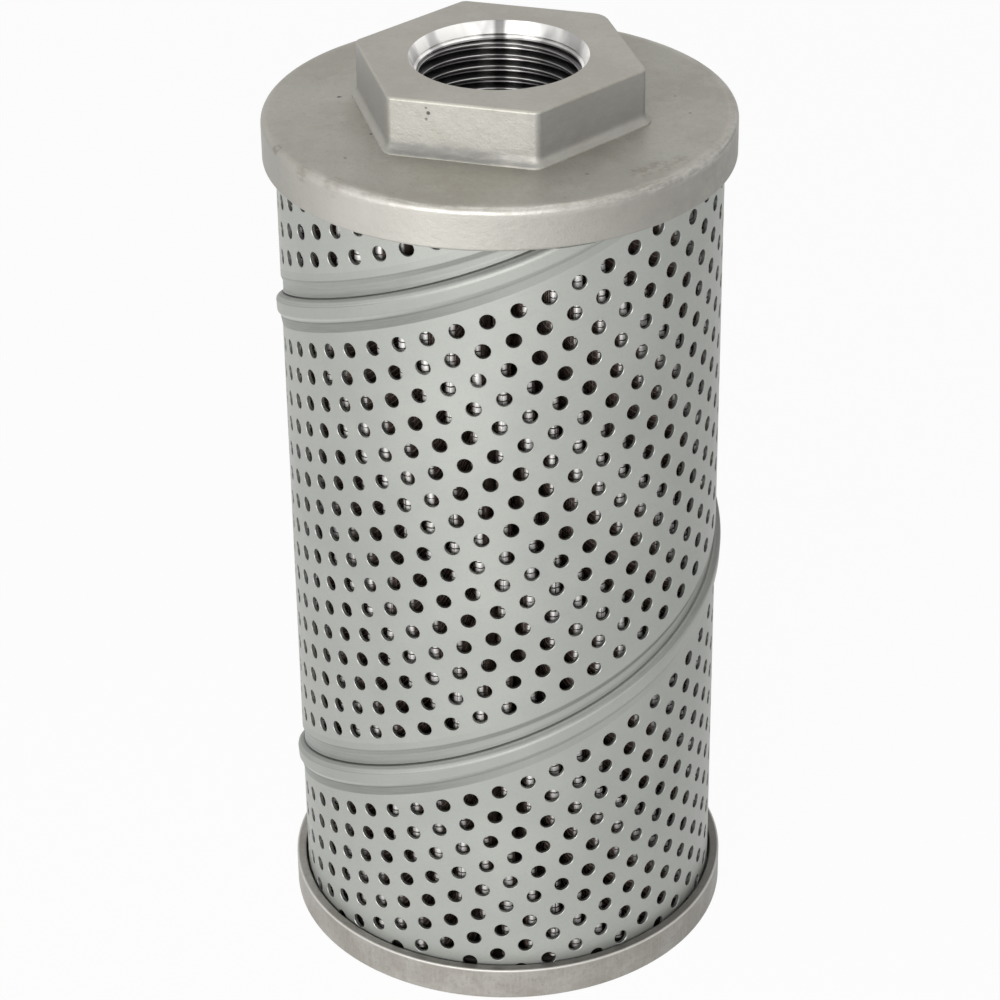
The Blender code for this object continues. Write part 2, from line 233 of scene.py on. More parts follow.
class Field:
    def __init__(self, tree, socket):
        self.tree = tree
        self.socket = socket

    def maths(self, operation, *others):
        node = self.tree.nodes.new("ShaderNodeMath")
        node.operation = operation
        for slot, value in zip(node.inputs, (self, *others)):
            plug(self.tree, slot, value)
        return Field(self.tree, node.outputs[0])

    def __add__(self, other):
        return self.maths("ADD", other)

    def __sub__(self, other):
        return self.maths("SUBTRACT", other)

    def __rsub__(self, other):
        return self.maths("MULTIPLY_ADD", -1.0, other)

    def __mul__(self, other):
        return self.maths("MULTIPLY", other)

    def __truediv__(self, other):
        return self.maths("DIVIDE", other)

    def __pow__(self, other):
        return self.maths("POWER", other)

    __radd__ = __add__
    __rmul__ = __mul__

    def above(self, low, high):
        """0 below low, 1 above high, and a smooth step between them."""
        node = self.tree.nodes.new("ShaderNodeMapRange")
        node.interpolation_type = "SMOOTHSTEP"
        plug(self.tree, node.inputs["Value"], self)
        plug(self.tree, node.inputs["From Min"], low)
        plug(self.tree, node.inputs["From Max"], high)
        return Field(self.tree, node.outputs["Result"])

    def below(self, low, high):
        """1 below low, 0 above high, and a smooth step between them."""
        return 1.0 - self.above(low, high)


def plug(tree, slot, value):
    if isinstance(value, Field):
        value = value.socket
    if isinstance(value, bpy.types.NodeSocket):
        tree.links.new(value, slot)
    else:
        slot.default_value = value


def add_node(tree, kind, inputs=None, **settings):
    node = tree.nodes.new(kind)
    for name, value in settings.items():
        setattr(node, name, value)
    for name, value in (inputs or {}).items():
        plug(tree, node.inputs[name], value)
    return node


def components(tree, vector):
    split = add_node(tree, "ShaderNodeSeparateXYZ", {0: vector})
    return [Field(tree, socket) for socket in split.outputs]


def combined(tree, x, y, z):
    return add_node(tree, "ShaderNodeCombineXYZ", {"X": x, "Y": y, "Z": z}).outputs[0]


def polar(tree, radius, angle, z):
    return combined(tree, radius * angle.maths("COSINE"), radius * angle.maths("SINE"), z)


def noise(tree, place, scale, detail, roughness):
    node = add_node(tree, "ShaderNodeTexNoise", {
        "Vector": place, "Scale": scale, "Detail": detail, "Roughness": roughness})
    return Field(tree, node.outputs["Fac"])


# Geometry node trees

def grown(tree, kind, inputs=None, **settings):
    """First output of a new geometry node."""
    return add_node(tree, "GeometryNode" + kind, inputs, **settings).outputs[0]


def new_growth(name, numbers, counts=()):
    """Geometry tree with an input for each number and each count, and all its inputs as fields."""
    tree = bpy.data.node_groups.new(name, "GeometryNodeTree")
    tree.interface.new_socket("Geometry", in_out="OUTPUT", socket_type="NodeSocketGeometry")
    kinds = {"Geometry": "Geometry", **dict.fromkeys(numbers, "Float"), **dict.fromkeys(counts, "Int")}
    for label, kind in {**kinds, "Material": "Material"}.items():
        tree.interface.new_socket(label, in_out="INPUT", socket_type="NodeSocket" + kind)
    group = tree.nodes.new("NodeGroupInput")
    return tree, {socket.name: Field(tree, socket) for socket in group.outputs if socket.name}


def end_growth(tree, geometry, material):
    """Every tree ends in plain geometry with its material."""
    real = grown(tree, "RealizeInstances", {0: geometry})
    dressed = grown(tree, "SetMaterial", {"Geometry": real, "Material": material})
    add_node(tree, "NodeGroupOutput", {0: dressed})
    return tree


def grow(name, tree, values, material=None, base=None):
    """Run a geometry tree on a base mesh and keep the result as a plain mesh."""
    item = new_object(name, base or bpy.data.meshes.new(name))
    modifier = item.modifiers.new(tree.name, "NODES")
    modifier.node_group = tree
    given = {**values, "Material": material}
    for socket in tree.interface.items_tree:
        if socket.in_out == "INPUT" and given.get(socket.name) is not None:
            modifier[socket.identifier] = given[socket.name]
    return keep_evaluated(item)


def keep_evaluated(item):
    depsgraph = bpy.context.evaluated_depsgraph_get()
    mesh = bpy.data.meshes.new_from_object(item.evaluated_get(depsgraph))
    item.modifiers.clear()
    item.data = mesh
    return item


def placed(tree, geometry, position):
    return grown(tree, "SetPosition", {"Geometry": geometry, "Position": position})


def here(tree):
    return components(tree, grown(tree, "InputPosition"))


def chosen(tree, index, values):
    """The value at an index, from a short list."""
    node = add_node(tree, "GeometryNodeIndexSwitch", {"Index": index}, data_type="FLOAT")
    while len(node.index_switch_items) < len(values):
        node.index_switch_items.new()
    for number, value in enumerate(values):
        plug(tree, node.inputs[number + 1], value)
    return Field(tree, node.outputs[0])


def whole(tree, value):
    return add_node(tree, "FunctionNodeFloatToInt", {0: value}, rounding_mode="ROUND").outputs[0]


# Mesh helpers

def new_object(name, mesh):
    item = bpy.data.objects.new(name, mesh)
    bpy.context.collection.objects.link(item)
    return item


def plain_mesh(name, bm):
    mesh = bpy.data.meshes.new(name)
    bm.to_mesh(mesh)
    bm.free()
    return mesh


def opened(item):
    bm = bmesh.new()
    bm.from_mesh(item.data)
    return bm


def finish_mesh(bm, mesh, sharp_degrees):
    bmesh.ops.recalc_face_normals(bm, faces=bm.faces)
    bm.to_mesh(mesh)
    bm.free()
    mesh.shade_smooth()
    mesh.set_sharp_from_angle(angle=math.radians(sharp_degrees))
    return mesh


def rounded(corners, closed=True, guard=corner_guard, steps=fillet_steps):
    """Outline whose corners, each (x, y, radius), are rounded, with a guard point by each arc."""
    outline = []
    count = len(corners)
    for number, (x, y, radius) in enumerate(corners):
        corner = Vector((x, y))
        ends = not closed and number in (0, count - 1)
        if ends or radius == 0:
            outline.append(corner)
            continue
        before = Vector(corners[number - 1][:2]) - corner
        after = Vector(corners[(number + 1) % count][:2]) - corner
        before.normalize()
        after.normalize()
        half = before.angle(after) / 2
        reach = radius / math.tan(half)
        centre = corner + (before + after).normalized() * (radius / math.sin(half))
        first = corner + before * reach
        last = corner + after * reach
        outline.append(first + before * guard)
        start = first - centre
        swing = start.angle_signed(last - centre)
        for step in range(steps + 1):
            outline.append(centre + Matrix.Rotation(-swing * step / steps, 2) @ start)
        outline.append(last + after * guard)
    return outline


def skin(bm, rings):
    """Faces from each ring to the next; a ring on the axis is one point, and its faces are triangles."""
    for low, high in zip(rings, rings[1:]):
        for step in range(len(low)):
            nxt = (step + 1) % len(low)
            corners = list(dict.fromkeys((low[step], low[nxt], high[nxt], high[step])))
            if len(corners) > 2:
                bm.faces.new(corners)


def turned(name, outline, steps):
    """Turn a closed outline of (radius, height) points about the Z axis."""
    bm = bmesh.new()
    rings = []
    for radius, height in outline:
        if radius < 1e-7:
            rings.append([bm.verts.new((0, 0, height))] * steps)
            continue
        ring = []
        for step in range(steps):
            angle = 2 * math.pi * step / steps
            ring.append(bm.verts.new((radius * math.cos(angle), radius * math.sin(angle), height)))
        rings.append(ring)
    skin(bm, rings + rings[:1])
    return new_object(name, finish_mesh(bm, bpy.data.meshes.new(name), cap_crease_degrees))


def cut_with(target, cutter, operation="DIFFERENCE"):
    boolean = target.modifiers.new(cutter.name, "BOOLEAN")
    boolean.operation = operation
    boolean.solver = "EXACT"
    boolean.object = cutter
    keep_evaluated(target)
    bpy.data.objects.remove(cutter, do_unlink=True)


# Finishes

class Finish:
    """Metal or resin whose pattern is drawn by nodes on the piece's own coordinates."""

    def __init__(self, name, metallic):
        self.material = bpy.data.materials.new(name)
        self.material.use_nodes = True
        self.tree = self.material.node_tree
        self.shader = self.tree.nodes["Principled BSDF"]
        self.shader.inputs["Metallic"].default_value = metallic
        coordinates = add_node(self.tree, "ShaderNodeTexCoord")
        self.place = coordinates.outputs["Object"]
        self.x, self.y, self.z = components(self.tree, self.place)
        self.radius = (self.x * self.x + self.y * self.y) ** 0.5
        self.tone = None
        self.height = None

    def stretched(self, x, y, z, source=None):
        inputs = {"Vector": source or self.place, "Scale": (x, y, z)}
        return add_node(self.tree, "ShaderNodeMapping", inputs).outputs[0]

    def unrolled(self, name):
        return add_node(self.tree, "ShaderNodeUVMap", uv_map=name).outputs[0]

    def noise(self, size, detail=3.0, roughness=0.5, source=None):
        """Soft noise between 0 and 1 whose blotches are about size across."""
        return noise(self.tree, source or self.place, 1.0 / size, detail, roughness)

    def blend(self, factor, first, second):
        """Colour between two colours; either may be a constant or an earlier blend."""
        node = add_node(self.tree, "ShaderNodeMix", data_type="RGBA")
        plug(self.tree, node.inputs[0], factor)
        for slot, colour in ((node.inputs[6], first), (node.inputs[7], second)):
            plug(self.tree, slot, (*colour, 1.0) if isinstance(colour, tuple) else colour)
        return node.outputs[2]

    def near(self, point, reach):
        """1 round a point and 0 beyond its reach."""
        gap = add_node(self.tree, "ShaderNodeVectorMath", {0: self.place, 1: point}, operation="DISTANCE")
        return Field(self.tree, gap.outputs["Value"]).below(reach * 0.45, reach)

    def paint(self, share, colour, ground=None):
        """Lay a colour over the tone so far, or over a first ground; a share of 1 covers it."""
        self.tone = self.blend(share, ground or self.tone, colour)
        self.tree.links.new(self.tone, self.shader.inputs["Base Color"])

    def roughness(self, field):
        plug(self.tree, self.shader.inputs["Roughness"], field)

    def relief(self, field, depth):
        """Bump of a real depth; later reliefs are laid over earlier ones."""
        node = add_node(self.tree, "ShaderNodeBump", {"Height": field, "Distance": depth, "Strength": 1.0})
        if self.height:
            self.tree.links.new(self.height, node.inputs["Normal"])
        self.height = node.outputs[0]
        self.tree.links.new(self.height, self.shader.inputs["Normal"])


def make_cast_finish():
    """Blasted casting: warm satin grey, cloudy, with nicks, stains and rust; a scuffed rim with a painted
    highlight along its edge and on its front left and painted shade at its far left; dirt and painted shade
    at the hexagon's foot, and painted shade on the hexagon's side faces.
    """
    cast = Finish("blasted_casting", 0.60)
    x, z, radius = cast.x, cast.z, cast.radius
    clouds = cast.noise(0.018, 4.0, 0.6)
    patches = cast.noise(0.0035, 3.0, 0.65)
    mottle = cast.noise(0.0011, 3.0, 0.7)
    wiped = cast.noise(0.0009, 3.0, 0.65, cast.stretched(0.3, 0.3, 1.3))
    ringed = cast.noise(0.0006, 3.0, 0.6, combined(cast.tree, radius, x * 0.15, z))
    grain = cast.noise(0.00035, 2.0, 0.7)
    cast.paint(clouds.above(0.35, 0.65), (0.408, 0.399, 0.350), (0.358, 0.339, 0.296))
    cast.paint(patches.above(0.45, 0.8) * 0.5, (0.48, 0.465, 0.43))
    cast.paint(mottle.above(0.50, 0.75) * 0.40, (0.27, 0.26, 0.235))
    cast.paint(grain.above(0.5, 0.85) * 0.50, (0.25, 0.24, 0.22))
    boss = radius.below(0.0300, 0.0304) * z.above(cap_face_z + 0.00005, cap_face_z + 0.0002)
    side = boss * z.below(overall_height - 0.0006, overall_height - 0.0003)
    foot = side * z.below(cap_face_z + 0.0016, cap_face_z + 0.0052)
    # Painted shade: the hexagon's faces to the right and to the far left are darker.
    shaded_hex_sides = x.above(0.0035, 0.0080).maths("MAXIMUM", (x * -1.0).above(0.0195, 0.0215))
    shaded_hex_sides = side * shaded_hex_sides
    # Dirt and painted shade along the hexagon's foot, broken by noise, weaker on the shaded side faces.
    foot_dirt_and_shade = foot * (1.0 - shaded_hex_sides * 0.8) * (wiped * 0.6 + patches * 0.4).above(0.36, 0.60)
    cast.paint(foot_dirt_and_shade * 0.6, foot_dirt_and_shade_tone)
    # Painted shade in the hexagon's concave foot, weaker at the front.
    cove_shade = side * (1.0 - shaded_hex_sides) * z.below(cap_face_z + 0.0016, cap_face_z + 0.0030)
    cove_shade = cove_shade * (1.0 - x.above(-0.003, 0.002) * 0.7)
    cast.paint(cove_shade * (wiped * 0.5 + 0.40), foot_dirt_and_shade_tone)
    above_foot = z.above(cap_face_z + 0.0012, cap_face_z + 0.0020)
    # Painted shade on the hexagon's side faces above the foot.
    cast.paint(shaded_hex_sides * above_foot * (wiped * 0.5 + 0.33), (0.20, 0.195, 0.185))
    rim = radius.above(cap_radius - 0.0005, cap_radius - 0.0002)
    cast.paint(side.maths("MAXIMUM", rim) * 0.4, (0.385, 0.376, 0.358))
    cast.paint(rim * patches.above(0.48, 0.75) * 0.28, (0.29, 0.275, 0.25))
    stained = rim * (x + (clouds - 0.5) * 0.03).above(0.006, 0.030)
    cast.paint(stained * (patches * 0.7 + 0.08), stain_and_shade_tone)
    # Painted shade on the rim's far left.
    shaded_rim_left = rim * (x + (clouds - 0.5) * 0.01).below(-0.044, -0.036)
    cast.paint(shaded_rim_left * 0.35, stain_and_shade_tone)
    # Painted highlight on the rim's front left.
    rim_highlight = rim * x.above(-0.038, -0.024) * x.below(-0.016, 0.002)
    cast.paint(rim_highlight * (0.22 + clouds * 0.22), wear_and_highlight_tone)
    top = z.above(overall_height - 0.0003, overall_height - 0.0001)
    cast.paint(top * 0.24, (0.58, 0.56, 0.51))
    # Scuff marks along the rim's top edge, also painted there as a highlight, weaker on the left.
    edge = radius.above(cap_radius - 0.0026, cap_radius - 0.0006)
    edge = edge * z.above(cap_face_z - 0.0022, cap_face_z - 0.0006)
    scuffs_and_edge_highlight = edge * (clouds * 0.3 + ringed * 0.4 + mottle * 0.3).above(0.40, 0.60)
    scuffs_and_edge_highlight = scuffs_and_edge_highlight * (x.above(-0.040, -0.026) * 0.8 + 0.2)
    cast.paint(scuffs_and_edge_highlight * 0.6, wear_and_highlight_tone)
    for centre, reach, share in specks:
        cast.paint(cast.near(centre, reach) * share, (0.05, 0.045, 0.04))
    broken = (ringed * 0.5 + mottle * 0.5).above(0.40, 0.60)
    for centre, reach, share in rust_marks:
        cast.paint(cast.near(centre, reach) * broken * share, (0.20, 0.170, 0.128))
    cast.roughness(0.46 + patches * 0.14 - scuffs_and_edge_highlight * 0.10 + cove_shade * 0.25)
    cast.relief(patches, 0.00008)
    cast.relief(mottle, 0.00005)
    cast.relief(grain, 0.00003)
    return cast.material


def make_machined_finish():
    """Turned steel in the port: a bright mouth with bands up and down, with a painted dark reflection and
    painted shade on its far wall; flanks painted dark as shade, with painted light streaks; crests painted
    bright as a highlight.
    """
    steel = Finish("machined_port", 1.0)
    bands = steel.noise(0.0050, 2.0, 0.5, steel.stretched(1.0, 1.0, 0.02))
    lines = steel.noise(0.00022, 2.0, 0.6, steel.stretched(0.01, 0.01, 1.0))
    bright = steel.blend(bands.above(0.40, 0.60), (0.55, 0.54, 0.53), (0.92, 0.91, 0.89))
    # Painted dark reflection on the far wall straight ahead, and painted shade on the far wall's right part.
    far_side = steel.y.above(0.0, 0.006)
    off_centre = (steel.x - 0.0002).maths("ABSOLUTE")
    shade = off_centre.below(0.0005, 0.0016) * 0.8
    dim = steel.x.above(0.0060, 0.0085) * 0.35
    bright = steel.blend(far_side * shade.maths("MAXIMUM", dim), bright, (0.09, 0.088, 0.085))
    # Thread flanks painted dark as shade, with painted light streaks on the far side.
    flank_streak_highlight = (off_centre - 0.0026).maths("ABSOLUTE").below(0.0, 0.0022)
    painted_flank_shade = steel.blend(bands, (0.05, 0.047, 0.050), (0.20, 0.19, 0.19))
    painted_flank_shade = steel.blend(far_side * flank_streak_highlight * 0.6, painted_flank_shade, (0.50, 0.49, 0.48))
    # Crests painted bright as a highlight, dimmer towards the sides.
    crest = steel.radius.below(port_bore_radius + 0.00003, port_bore_radius + 0.00012)
    crest = crest * (1.0 - steel.x.maths("ABSOLUTE").above(0.003, 0.012) * 0.5)
    mouth_foot_z = overall_height - mouth_ring_depth
    mouth = steel.z.above(mouth_foot_z - 0.0001, mouth_foot_z)
    steel.paint((crest * 0.85).maths("MAXIMUM", mouth), bright, painted_flank_shade)
    steel.roughness(0.24 + bands * 0.14 + mouth * 0.22)
    steel.relief(lines, 0.000015)
    return steel.material


def make_galvanised_finish(streaked):
    """Zinc-coated sheet: silky pale grey with a hint of green; on the strip, streaks run along the seam,
    bands of painted shade and painted highlights lie along the seam, and the hole walls are painted dark as
    shade.
    """
    zinc = Finish("galvanised_strip" if streaked else "galvanised_core", 0.60)
    drawn = zinc.unrolled("strip") if streaked else zinc.stretched(1.0, 1.0, 0.06)
    if streaked:
        _, across, _ = components(zinc.tree, drawn)
        drawn = zinc.stretched(0.06, 1.0, 1.0, drawn)
    streaks = zinc.noise(0.0011, 3.0, 0.6, drawn)
    clouds = zinc.noise(0.022, 3.0, 0.55)
    grain = zinc.noise(0.0005, 2.0, 0.6)
    rough = 0.38 + streaks * 0.08 + grain * 0.06
    zinc.paint(clouds.above(0.35, 0.65), (0.403, 0.412, 0.386), (0.372, 0.385, 0.358))
    zinc.paint(streaks.above(0.5, 0.85) * 0.35, (0.35, 0.37, 0.345))
    zinc.paint(grain.above(0.45, 0.75) * 0.16, (0.28, 0.30, 0.27))
    if streaked:
        fine = zinc.noise(0.0004, 2.0, 0.6, drawn)
        right = zinc.x.above(-0.022, 0.006)
        # Each row lays a band along the seam: dark colours are painted shade and light colours painted
        # highlights, with a share going from the left side's to the right side's.
        for low, high, soft, left_share, right_share, colour in seam_shade_and_highlight_tones:
            band = across.above(low - soft, low + soft) * across.below(high - soft, high + soft)
            share = right * (right_share - left_share) + left_share
            zinc.paint(band * (fine * 0.8 + 0.6) * share, colour)
        # Hole walls painted dark as shade.
        wall = zinc.radius.below(tube_radius - 0.00020, tube_radius - 0.00006)
        zinc.paint(wall * across.above(0.0072, 0.0080) * 0.8, (0.10, 0.10, 0.095))
        crest = across.above(-0.0002, 0.0001) * across.below(0.0010, 0.0014)
        rough = rough + crest * 0.22
    zinc.roughness(rough)
    zinc.relief(streaks, 0.000012)
    zinc.relief(grain, 0.000008)
    return zinc.material


def make_pan_finish():
    """Drawn bottom pan: warm mottled grey with a fine upright grain, a bright outer edge that is wear and a
    painted highlight, and painted shade on the rim's flat top and by the tube.
    """
    pan = Finish("drawn_pan", 0.40)
    z, radius = pan.z, pan.radius
    upright = z.above(0.0001, 0.0006)
    grain = upright * pan.noise(0.0006, 3.0, 0.65, pan.stretched(1.0, 1.0, 0.12))
    mottle = (upright * 0.6 + 0.4) * pan.noise(0.0010, 4.0, 0.75)
    clouds = pan.noise(0.009, 4.0, 0.65)
    pan.paint(clouds.above(0.35, 0.65), (0.372, 0.357, 0.328), (0.300, 0.283, 0.253))
    pan.paint(grain.above(0.45, 0.8) * 0.35, (0.48, 0.46, 0.43))
    pan.paint(mottle.above(0.48, 0.72) * 0.45, (0.20, 0.188, 0.168))
    # Outer top edge painted bright: wear and a painted highlight.
    edge = z.above(bottom_rim_height - 0.0005, bottom_rim_height - 0.0002)
    edge = edge * radius.above(cap_radius - 0.0005, cap_radius - 0.0002)
    pan.paint(edge * (mottle * 0.6 + 0.45), (0.70, 0.68, 0.64))
    # Painted shade on the rim's flat top, strongest at the front.
    flat = radius.below(cap_radius - 0.00050, cap_radius - 0.00025)
    flat = flat * z.above(bottom_rim_height - 0.0003, bottom_rim_height - 0.0001)
    front = pan.x.above(-0.038, -0.006)
    pan.paint(flat * (front * 0.58 + mottle * 0.08), pan_shade_tone)
    # Painted shade along the rim's inner edge by the tube.
    inner = radius.below(cap_inner_radius, cap_inner_radius + 0.0003)
    pan.paint(inner * 0.7, pan_shade_tone)
    pan.roughness(0.40 + grain * 0.10 + mottle * 0.08)
    pan.relief(grain, 0.00002)
    pan.relief(mottle, 0.00004)
    return pan.material


def make_wire_finish():
    """Coarse drawn wire, dark brown on the pleats' crowns as oxide and as painted shade, and painted lighter
    and browner between them as painted light, with a low sheen.
    """
    wire = Finish("drawn_wire", 0.5)
    stain = wire.noise(0.002, 2.0, 0.5)
    # Crowns dark brown as oxide and painted shade; wires further in, between the pleats, painted lighter as
    # painted light in their shade.
    deep_painted_light = wire.radius.below(pack_outer_radius - 0.0014, pack_outer_radius - 0.0005)
    wire.paint(stain, (0.080, 0.066, 0.058), (0.035, 0.028, 0.025))
    wire.paint(deep_painted_light, (0.36, 0.29, 0.25))
    wire.roughness(0.38 + stain * 0.16)
    return wire.material


def make_fine_cloth_finish():
    """Fine woven wire: bright on the pleats' crowns and painted dark between them as shade, the weave as a
    small relief.
    """
    cloth = Finish("fine_wire_weave", 0.6)
    across, along, _ = components(cloth.tree, cloth.unrolled("cloth"))
    turn = 2 * math.pi / fine_weave_pitch
    weave = (across * turn).maths("SINE") * (along * turn).maths("SINE") * 0.5 + 0.5
    shade = cloth.noise(0.0016, 3.0, 0.6)
    cloth.paint(shade.above(0.3, 0.7), (0.90, 0.89, 0.87), (0.66, 0.65, 0.63))
    cloth.paint(weave * 0.15, (0.50, 0.49, 0.47))
    crown = pack_outer_radius - filter_cloth_depth
    # Painted shade further into the pleats, below the crowns.
    cloth.paint(cloth.radius.below(crown - 0.00065, crown - 0.00025), (0.15, 0.112, 0.095))
    cloth.roughness(0.40 + shade * 0.12)
    cloth.relief(weave, 0.00001)
    return cloth.material


def make_inner_cloth_finish():
    """Coarse inner support cloth, its wires drawn as a relief, with the openings between them painted dark as
    shade.
    """
    cloth = Finish("inner_wire_cloth", 0.9)
    across, along, _ = components(cloth.tree, cloth.unrolled("cloth"))
    turn = 2 * math.pi / support_wire_pitch
    wires = (across * turn).maths("COSINE").maths("MAXIMUM", (along * turn).maths("COSINE"))
    lines = wires.above(0.55, 0.9)
    # Openings between the wires painted dark as shade.
    cloth.paint(lines, (0.46, 0.46, 0.44), (0.10, 0.10, 0.095))
    cloth.roughness(0.34 + cloth.noise(0.003) * 0.14)
    cloth.relief(lines, 0.00012)
    return cloth.material


def make_clip_finish():
    """Rolled strip of the side clip, with lengthwise rolling lines."""
    clip = Finish("rolled_clip", 0.8)
    lines = clip.noise(0.0004, 3.0, 0.6, clip.stretched(1.0, 1.0, 0.03))
    clip.paint(lines, (0.26, 0.255, 0.245), (0.13, 0.125, 0.12))
    clip.roughness(0.28 + lines * 0.16)
    clip.relief(lines, 0.00002)
    return clip.material


def make_adhesive_finish():
    """Cured resin, nearly black and slightly glossy."""
    resin = Finish("cured_resin", 0.0)
    swirl = resin.noise(0.006, 4.0, 0.6)
    resin.paint(swirl, (0.060, 0.052, 0.045), (0.020, 0.018, 0.016))
    resin.roughness(0.28 + swirl * 0.2)
    resin.relief(swirl, 0.0002)
    return resin.material


# Caps

def hexagon_outline(spread):
    """Corners of the hexagon as arcs, each with a guard point on the flats beside it."""
    apothem = hex_across_flats / 2 + spread
    outline = []
    for corner, worn_radius in enumerate(hex_corner_radii):
        corner_radius = worn_radius + spread
        centre_distance = (apothem - corner_radius) / math.cos(math.pi / 6)
        middle = hex_turn + corner * math.pi / 3
        centre = Vector((math.cos(middle), math.sin(middle))) * centre_distance
        for step in range(-fillet_steps, fillet_steps + 1):
            angle = middle + step / fillet_steps * math.pi / 6
            outward = Vector((math.cos(angle), math.sin(angle)))
            point = centre + outward * corner_radius
            along_flat = Vector((-outward.y, outward.x)) * corner_guard
            if step == -fillet_steps:
                outline.append(point - along_flat)
            outline.append(point)
            if step == fillet_steps:
                outline.append(point + along_flat)
    return outline


def make_hexagon_boss():
    foot_z = cap_face_z + hex_foot_height
    flare = math.radians(hex_flare_degrees)
    levels = [
        (hex_foot_spread, cap_face_z - top_plate_thickness / 2),
        (hex_foot_spread, cap_face_z + 0.0002),
        (hex_foot_spread * 0.95, cap_face_z + 0.0003),
    ]
    for step in range(fillet_steps + 1):
        angle = math.radians(hex_flare_degrees + (90 - hex_flare_degrees) * step / fillet_steps)
        lift = (math.cos(flare) - math.cos(angle)) / math.cos(flare)
        drawn_in = (1 - math.sin(angle)) / (1 - math.sin(flare))
        height = cap_face_z + 0.0004 + (foot_z - cap_face_z) * 1.2 * lift
        levels.append((hex_foot_spread * 0.88 * drawn_in, height))
    levels.append((0.0, foot_z + 0.0012))
    levels.append((0.0, overall_height - hex_edge_radius - corner_guard))
    for step in range(fillet_steps + 1):
        angle = step / fillet_steps * math.pi / 2
        inset = hex_edge_radius * (1 - math.cos(angle))
        levels.append((-inset, overall_height - hex_edge_radius * (1 - math.sin(angle))))
    levels.append((-hex_edge_radius - corner_guard, overall_height))
    bm = bmesh.new()
    rings = []
    for spread, height in levels:
        rings.append([bm.verts.new((*point, height)) for point in hexagon_outline(spread)])
    skin(bm, rings)
    bm.faces.new(list(reversed(rings[0])))
    bm.faces.new(rings[-1])
    mesh = bpy.data.meshes.new("hexagon_boss")
    return new_object("hexagon_boss", finish_mesh(bm, mesh, cap_crease_degrees))


def make_end_cap(cast, machined):
    """One casting: plate with a down-turned rim, hexagon boss, neck and the port's bore."""
    profile = rounded([
        (0, neck_bottom_z, 0),
        (neck_radius, neck_bottom_z, 0.0004),
        (neck_radius, ceiling_z - spigot_height, 0),
        (spigot_radius, ceiling_z - spigot_height, 0.0003),
        (spigot_radius, ceiling_z, 0),
        (cap_inner_radius, ceiling_z, 0),
        (cap_inner_radius, top_rim_z, 0.0003),
        (cap_radius, top_rim_z, rim_foot_radius),
        (cap_radius, cap_face_z, top_edge_radius),
        (0, cap_face_z, 0),
    ])
    cap = turned("end_cap", profile, cap_steps)
    cut_with(cap, make_hexagon_boss(), "UNION")
    top = overall_height
    bore = [
        (0, neck_bottom_z - over_cut),
        (port_bore_radius, neck_bottom_z - over_cut),
        (port_bore_radius, top + over_cut),
        (0, top + over_cut),
    ]
    cut_with(cap, turned("port_bore", bore, bore_steps))
    cut_with(cap, make_thread_groove())
    collar = [
        (port_bore_radius - collar_overlap, top - mouth_ring_depth),
        (mouth_radius + collar_reach, top - mouth_ring_depth),
        (mouth_radius + collar_reach, top - collar_depth),
        (port_bore_radius - collar_overlap, top - collar_depth),
    ]
    cut_with(cap, turned("mouth_collar", collar, bore_steps), "UNION")
    slope = (mouth_radius - mouth_foot_radius) / mouth_foot_depth
    mouth = [
        (0, top - mouth_ring_depth - 0.0001),
        (mouth_ring_radius, top - mouth_ring_depth - 0.0001),
        (mouth_ring_radius, top - mouth_foot_depth - 0.00065),
        (mouth_ring_radius + 0.0001, top - mouth_foot_depth - 0.00055),
        (mouth_groove_radius, top - mouth_foot_depth - 0.0002),
        (mouth_groove_radius, top - mouth_foot_depth - 0.00005),
        (mouth_foot_radius, top - mouth_foot_depth),
        (mouth_radius, top - mouth_edge_cut),
        (mouth_radius + mouth_edge_cut, top),
        (mouth_radius + mouth_edge_cut + slope * over_cut, top + over_cut),
        (0, top + over_cut),
    ]
    cut_with(cap, turned("port_mouth", mouth, bore_steps))
    mesh = cap.data
    mesh.materials.clear()
    mesh.materials.append(cast)
    mesh.materials.append(machined)
    for face in mesh.polygons:
        middle = face.center
        inside = math.hypot(middle.x, middle.y) < mouth_radius + 0.00012
        face.material_index = 1 if inside and middle.z < top - 1e-6 else 0
    mesh.shade_smooth()
    mesh.set_sharp_from_angle(angle=math.radians(cap_crease_degrees))
    return cap


def helical_groove_growth():
    """The space between two thread crests, wound down the bore and drawn in at its lower end.

    The outline's first number is the share of the thread's depth and its second the share of the pitch.
    """
    flank = [
        (-0.24, 0), (-0.24, -0.47), (0, -0.46), (0.05, -0.42), (0.14, -0.39), (0.80, -0.13), (0.95, -0.08)]
    outline = flank + [(1, 0)] + [(share, -shift) for share, shift in reversed(flank)]
    tree, size = new_growth("Helical groove", (
        "Pitch", "Turns", "Root Radius", "Crest Radius", "Top Height", "Start Angle", "Run Out"), ("Steps",))
    grid = grown(tree, "MeshGrid", {
        "Size X": 1.0, "Size Y": float(len(outline) - 1), "Vertices X": size["Steps"],
        "Vertices Y": len(outline)})
    x, y, _ = here(tree)
    turn = (x + 0.5) * size["Turns"]
    side = whole(tree, y + (len(outline) - 1) / 2)
    drawn_in = (size["Turns"] - turn).below(0.0, size["Run Out"])
    depth = size["Root Radius"] - size["Crest Radius"]
    cut = chosen(tree, side, [float(share) for share, _ in outline]) * depth
    axial = chosen(tree, side, [float(shift) for _, shift in outline]) * size["Pitch"]
    radius = size["Crest Radius"] + cut - drawn_in * depth * 1.1
    angle = size["Start Angle"] - turn * (2 * math.pi)
    level = size["Top Height"] - turn * size["Pitch"] + axial
    groove = placed(tree, grid, polar(tree, radius, angle, level))
    joined = grown(tree, "MergeByDistance", {"Geometry": groove, "Distance": 1e-6})
    return end_growth(tree, joined, size["Material"])


